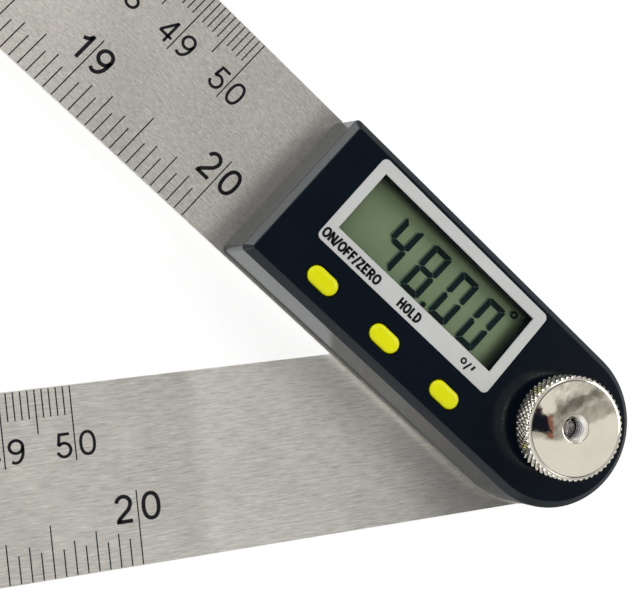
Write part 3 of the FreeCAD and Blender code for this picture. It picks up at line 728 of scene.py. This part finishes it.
def knob_mesh():
    columns = KNURL_COUNT * KNURL_STEPS
    bore_columns = columns // BORE_SHARE
    z_band = knob_low.z + NECK_HEIGHT
    z_top = knob_high.z - CROWN_HEIGHT
    waist = knob_radius - KNURL_DEPTH

    def ring(radius, z, count=columns):
        angles = [2 * math.pi * i / count for i in range(count)]
        return [(radius * math.cos(angle), radius * math.sin(angle), z) for angle in angles]

    rings = [ring(NECK_RADIUS, knob_low.z), ring(NECK_RADIUS, z_band), ring(waist, z_band)]
    for row in range(KNURL_ROWS + 1):
        share = row / KNURL_ROWS
        z = z_band + (z_top - z_band) * share
        edge = min(1.0, 6 * share, 0.6 + 12 * (1 - share))
        points = []
        for i in range(columns):
            turn = i / KNURL_STEPS
            lean = share * KNURL_LEAN
            depth = max(groove(turn + lean), groove(turn - lean))
            radius = waist + (knob_radius - waist) * (1 - depth) * edge
            angle = 2 * math.pi * i / columns
            points.append((radius * math.cos(angle), radius * math.sin(angle), z))
        rings.append(points)
    crown = waist - CROWN_CHAMFER
    for share in (0.0, 0.35, 0.7, 1.0):
        angle = share * math.pi / 2
        radius = crown + CROWN_CHAMFER * math.cos(angle) * CHAMFER_REACH
        rings.append(ring(radius, z_top + (CROWN_HEIGHT - DOME) * math.sin(angle)))
    for share in (0.01, 0.25, 0.5, 0.75, 0.99, 1.0):
        radius = crown + (MOUTH_RADIUS - crown) * share
        rise = DOME * (1 - (radius / crown) ** 2)
        rings.append(ring(radius, knob_high.z - DOME + rise))
    z_mouth = knob_high.z - DOME * (MOUTH_RADIUS / crown) ** 2
    z_thread = z_mouth - MOUTH_EDGE[-1][1] - (MOUTH_RADIUS - MOUTH_EDGE[-1][0] - THREAD_MINOR)
    z_end = z_thread - THREAD_TURNS * THREAD_PITCH
    bore = [ring(MOUTH_RADIUS - inward, z_mouth - drop, bore_columns) for inward, drop in MOUTH_EDGE]
    for row in range(THREAD_ROWS + 1):
        share = row / THREAD_ROWS
        fade = min(1.0, 6 * share, 9 * (1 - share))
        points = []
        for i in range(bore_columns):
            turn = i / bore_columns
            crest = 0.5 - 0.5 * math.cos(2 * math.pi * (share * THREAD_TURNS + turn))
            radius = THREAD_MINOR + (THREAD_MAJOR - THREAD_MINOR) * crest * fade
            angle = 2 * math.pi * turn
            points.append((radius * math.cos(angle), radius * math.sin(angle),
                           z_thread - share * THREAD_TURNS * THREAD_PITCH))
        bore.append(points)
    bore += [ring(BORE_RADIUS, z, bore_columns) for z in (z_end - 0.02, knob_low.z)]

    points = [point for one in rings + bore for point in one]
    faces = []
    for level in range(len(rings) - 1):
        low, high = level * columns, (level + 1) * columns
        for i in range(columns):
            j = (i + 1) % columns
            faces.append([low + i, low + j, high + j, high + i])
    first_bore = len(rings) * columns
    last_bore = first_bore + (len(bore) - 1) * bore_columns
    mouth = first_bore - columns
    for i in range(bore_columns):
        j = (i + 1) % bore_columns
        for level in range(len(bore) - 1):
            low = first_bore + level * bore_columns
            high = low + bore_columns
            faces.append([low + i, low + j, high + j, high + i])
        wide = [(i * BORE_SHARE + k) % columns for k in range(BORE_SHARE + 1)]
        faces.append([mouth + k for k in wide] + [first_bore + j, first_bore + i])
        faces.append([k for k in reversed(wide)] + [last_bore + i, last_bore + j])
    mesh = bpy.data.meshes.new("clamp_knob_turned")
    mesh.from_pydata([Vector(point) * MM for point in points], [], faces)
    mesh.shade_smooth()
    return mesh


knob = place_piece("clamp_knob_turned", knob_mesh(), knob_nickel, "clamp_knob")
crisp = knob.modifiers.new("crisp_edges", "EDGE_SPLIT")
crisp.split_angle = math.radians(25)
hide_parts("clamp_knob")


# End of the stud that shows in the knob's bore
STUD_END_RADIUS = 1.48
STUD_END_FACE = 1.30
STUD_END_DROP = 3.0             # knob's top to the stud's end
STUD_END_CHAMFER = 0.2


def stud_end():
    z_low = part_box("pivot_stud")[1].z / MM - 0.05
    z_face = knob_high.z - STUD_END_DROP
    rings = []
    for radius, z in ((STUD_END_RADIUS, z_low), (STUD_END_RADIUS, z_face - STUD_END_CHAMFER),
                      (STUD_END_FACE, z_face), (STUD_END_FACE - 0.1, z_face)):
        rings.append([(x, y, z) for x, y in arc(0, 0, radius, radius, 0, 345)])
    mesh = stacked("pivot_stud_end", rings)
    place_piece("pivot_stud_end", mesh, stud_nickel, "lower_arm")


stud_end()


# Floor, world, lamps and camera
FLOOR_SIZE = 8.0                # metres
FLOOR_DROP = 0.0004
LIT_SIDE = (-0.75, -0.66)       # weights of x and y towards the side where floor and sky are brighter


def weighted(tree, first, second, first_weight, second_weight):
    return math_node(tree, "ADD", math_node(tree, "MULTIPLY", first, first_weight),
                     math_node(tree, "MULTIPLY", second, second_weight))


def blend_shaders(tree, factor, first, second):
    mix = tree.nodes.new("ShaderNodeMixShader")
    tree.links.new(factor, mix.inputs[0])
    tree.links.new(first.outputs[0], mix.inputs[1])
    tree.links.new(second.outputs[0], mix.inputs[2])
    return mix


def floor_material():
    """Pale floor that keeps the object's shadow, with more of its own white where it is seen.

    Reflections get that white on the lit side only.
    """
    made = bpy.data.materials.new("floor_white")
    made.use_nodes = True
    tree = made.node_tree
    tree.nodes.clear()
    output = tree.nodes.new("ShaderNodeOutputMaterial")
    plain = tree.nodes.new("ShaderNodeBsdfDiffuse")
    plain.inputs["Color"].default_value = (0.80, 0.80, 0.80, 1)
    shown = tree.nodes.new("ShaderNodeBsdfDiffuse")
    shown.inputs["Color"].default_value = (0.30, 0.30, 0.30, 1)
    glow = tree.nodes.new("ShaderNodeEmission")
    glow.inputs["Strength"].default_value = 0.79
    both = tree.nodes.new("ShaderNodeAddShader")
    tree.links.new(shown.outputs[0], both.inputs[0])
    tree.links.new(glow.outputs[0], both.inputs[1])
    dim = tree.nodes.new("ShaderNodeBsdfDiffuse")
    dim.inputs["Color"].default_value = (0.32, 0.32, 0.33, 1)
    rays = tree.nodes.new("ShaderNodeLightPath")
    x, y, z = split(tree, object_place(tree))
    lit_side = spread(tree, weighted(tree, x, y, *LIT_SIDE), 0.0, 0.035, 0.0, 1.0, smooth=True)
    mirrored = blend_shaders(tree, lit_side, dim, both)
    unseen = blend_shaders(tree, rays.outputs["Is Glossy Ray"], plain, mirrored)
    seen = math_node(tree, "MAXIMUM", rays.outputs["Is Camera Ray"], rays.outputs["Is Transmission Ray"])
    mix = blend_shaders(tree, seen, unseen, both)
    tree.links.new(mix.outputs[0], output.inputs["Surface"])
    return made


half_floor = FLOOR_SIZE / 2
floor_mesh = bpy.data.meshes.new("floor")
floor_mesh.from_pydata([(-half_floor, -half_floor, -FLOOR_DROP), (half_floor, -half_floor, -FLOOR_DROP),
                        (half_floor, half_floor, -FLOOR_DROP), (-half_floor, half_floor, -FLOOR_DROP)],
                       [], [(0, 1, 2, 3)])
floor_mesh.materials.append(floor_material())
floor = bpy.data.objects.new("floor", floor_mesh)
scene.collection.objects.link(floor)

world = bpy.data.worlds.new("studio")
scene.world = world
world.use_nodes = True
sky = world.node_tree
sky.nodes.clear()
sky_output = sky.nodes.new("ShaderNodeOutputWorld")
background = sky.nodes.new("ShaderNodeBackground")
sky_place = sky.nodes.new("ShaderNodeTexCoord")
heading = sky_place.outputs["Generated"]


def heading_along(vector):
    node = sky.nodes.new("ShaderNodeVectorMath")
    node.operation = "DOT_PRODUCT"
    node.inputs[1].default_value = vector
    sky.links.new(heading, node.inputs[0])
    return node.outputs["Value"]


def patch(direction, inner, outer):
    """1 within an angle of a direction, 0 beyond a wider one. Angles in degrees."""
    edges = math.cos(math.radians(outer)), math.cos(math.radians(inner))
    nearness = heading_along(Vector(direction).normalized())
    return spread(sky, nearness, *edges, 0.0, 1.0, smooth=True)


# What the knob's flat top mirrors, in shares of the top's radius from its middle, with wavy edges
MIRROR_MIDDLE = Vector((0.400, 0.224, 0.889)).normalized()
MIRROR_ACROSS = Vector((0.741, 0.671, 0.0))
MIRROR_DOWN = Vector((0.672, -0.740, 0.0))
MIRROR_SPREAD = 0.052           # tangent of the angle for one radius
SMEAR_COSINE = 0.906            # the smear is turned 25 degrees from across
SMEAR_SINE = 0.423
forward = math_node(sky, "MAXIMUM", heading_along(MIRROR_MIDDLE), 0.01)
ahead = math_node(sky, "MULTIPLY", forward, MIRROR_SPREAD)
ripple = noise(sky, heading, 130.0, detail=3.0)
ripple_across = noise(sky, heading, 130.0, (1.3, 1.1, 0.9), detail=3.0)


def mirrored_place(direction, wave):
    level = Vector(direction) - MIRROR_MIDDLE * MIRROR_MIDDLE.dot(direction)
    place = math_node(sky, "DIVIDE", heading_along(level), ahead)
    return math_node(sky, "ADD", place, spread(sky, wave, 0.3, 0.7, -0.03, 0.03))


def band(value, low, high, soft):
    rise = spread(sky, value, low - soft, low + soft, 0.0, 1.0, smooth=True)
    fall = spread(sky, value, high - soft, high + soft, 1.0, 0.0, smooth=True)
    return math_node(sky, "MULTIPLY", rise, fall)


def panel(left, right, top, bottom, soft):
    return math_node(sky, "MULTIPLY", band(across, left, right, soft), band(down, top, bottom, soft))


ahead_x, ahead_y, height = split(sky, heading)
horizon = spread(sky, weighted(sky, ahead_x, ahead_y, *LIT_SIDE), -0.6, 0.4, 0.5, 1.0, smooth=True)
overhead = spread(sky, height, 0.30, 0.75, 0.0, 1.0, smooth=True)
gradient = mixed(sky, overhead, grey(sky, horizon), (0.60, 0.59, 0.575))
# Dark and bright places of the sky: direction, angles of its full and outer reach, colour
SKY_PATCHES = (
    ((0.16, 0.20, 0.96), 9, 21, (0.10, 0.10, 0.105)),
    ((0.42, 0.16, 0.89), 4, 11, (0.06, 0.06, 0.065)),
    ((0.60, -0.02, 0.80), 6, 13, (0.12, 0.12, 0.125)),
    ((0.12, 0.46, 0.88), 5, 12, (0.16, 0.16, 0.165)),
    ((0.54, -0.24, 0.81), 5, 11, (1.7, 1.68, 1.65)),
    ((-0.38, 0.60, 0.70), 6, 13, (2.3, 2.28, 2.24)),
)
shaded = gradient
for direction, inner, outer, colour in SKY_PATCHES:
    shaded = mixed(sky, patch(direction, inner, outer), shaded, colour)

across = mirrored_place(MIRROR_ACROSS, ripple_across)
down = mirrored_place(MIRROR_DOWN, ripple)
left_edge = math_node(sky, "SUBTRACT", math_node(sky, "SUBTRACT", down, 0.33),
                      math_node(sky, "MULTIPLY", across, 0.25))
right_edge = math_node(sky, "ADD", math_node(sky, "SUBTRACT", down, 0.07),
                       math_node(sky, "MULTIPLY", across, 0.575))
below = spread(sky, math_node(sky, "MAXIMUM", left_edge, right_edge), -0.05, 0.05, 0.0, 1.0, smooth=True)
brighter = spread(sky, down, -0.35, -0.62, 0.0, 1.0, smooth=True)
upper = mixed(sky, brighter, (0.42, 0.41, 0.37), (0.72, 0.71, 0.66))
along_smear = weighted(sky, across, down, SMEAR_COSINE, -SMEAR_SINE)
over_smear = weighted(sky, across, down, SMEAR_SINE, SMEAR_COSINE)
smear = math_node(sky, "MULTIPLY", band(along_smear, -0.10, 0.75, 0.08),
                  band(over_smear, -0.52, -0.33, 0.06))
upper = mixed(sky, smear, upper, (0.20, 0.19, 0.17))
vein = spread(sky, noise(sky, heading, 170.0, (1.0, 0.5, 1.0), detail=4.0), 0.35, 0.65, 0.62, 1.2)
upper = mixed(sky, 1.0, upper, grey(sky, vein), "MULTIPLY")
card = mixed(sky, below, upper, (0.80, 0.79, 0.735))
card = mixed(sky, panel(-0.585, -0.333, -0.90, -0.28, 0.03), card, (0.80, 0.79, 0.74))
card = mixed(sky, patch(MIRROR_MIDDLE, 2.95, 3.2), shaded, card)
# Two brown shapes and a black one in two parts: left, right, top, bottom, softness, colour
NEAR_BLACK = (0.008, 0.010, 0.016)
MIRRORED_PANELS = (
    (-0.82, -0.60, -0.57, -0.20, 0.015, (0.25, 0.095, 0.07)),
    (-0.49, -0.37, -0.25, 0.18, 0.015, (0.26, 0.115, 0.085)),
    (-0.67, -0.54, -0.39, -0.20, 0.012, NEAR_BLACK),
    (-0.90, -0.445, -0.263, 0.087, 0.012, NEAR_BLACK),
)
for *edges, colour in MIRRORED_PANELS:
    card = mixed(sky, panel(*edges), card, colour)
sky_rays = sky.nodes.new("ShaderNodeLightPath")
seen = mixed(sky, sky_rays.outputs["Is Camera Ray"], card, (1.0, 1.0, 1.0))
sky.links.new(seen, background.inputs["Color"])
sky.links.new(background.outputs[0], sky_output.inputs["Surface"])


LAMP_TARGET = Vector((-0.03, 0, 0))     # middle of the head, in metres


def softbox(name, direction, distance, width, height, radiance):
    """Area lamp that faces the head from a direction, with its brightness as seen in a mirror."""
    lamp = bpy.data.lights.new(name, "AREA")
    lamp.shape = "RECTANGLE"
    lamp.size = width
    lamp.size_y = height
    lamp.energy = radiance * math.pi * width * height
    holder = bpy.data.objects.new(name, lamp)
    way = Vector(direction).normalized()
    holder.location = LAMP_TARGET + way * distance
    holder.rotation_mode = "QUATERNION"
    holder.rotation_quaternion = way.to_track_quat("Z", "Y")
    holder.visible_camera = False
    scene.collection.objects.link(holder)


softbox("lamp_key", (0.50, 0.63, 0.60), 1.5, 0.8, 0.8, 4.6)
softbox("lamp_left", (-0.965, 0.23, 0.11), 1.5, 0.7, 0.42, 6.5)
softbox("lamp_front", (-0.30, -0.94, 0.15), 1.5, 0.8, 0.35, 3.0)

# Camera as measured from the photograph's scale marks
CAMERA_PLACE = (-70.2711, -39.2384, 176.6486)
CAMERA_RIGHT = (0.709211, 0.642153, 0.290962)
CAMERA_DOWN = (0.672235, -0.740323, -0.00466)
CAMERA_FORWARD = (0.212414, 0.1989, -0.956723)
PHOTO_WIDTH = 638
FOCAL_PIXELS = 1158.746
CENTRE_COLUMN = 376
SHIFT_UP = 0.00235              # share of the photo's width
camera_data = bpy.data.cameras.new("camera")
camera_data.sensor_width = 36.0
camera_data.lens = FOCAL_PIXELS * camera_data.sensor_width / PHOTO_WIDTH
camera_data.shift_x = 0.5 - CENTRE_COLUMN / PHOTO_WIDTH
camera_data.shift_y = SHIFT_UP
camera_data.clip_start = 0.01
camera = bpy.data.objects.new("camera", camera_data)
rotation = Matrix((CAMERA_RIGHT, -Vector(CAMERA_DOWN), -Vector(CAMERA_FORWARD))).transposed()
camera.matrix_world = Matrix.Translation(Vector(CAMERA_PLACE) * MM) @ rotation.to_4x4()
scene.collection.objects.link(camera)
scene.camera = camera

scene.view_settings.view_transform = "Standard"
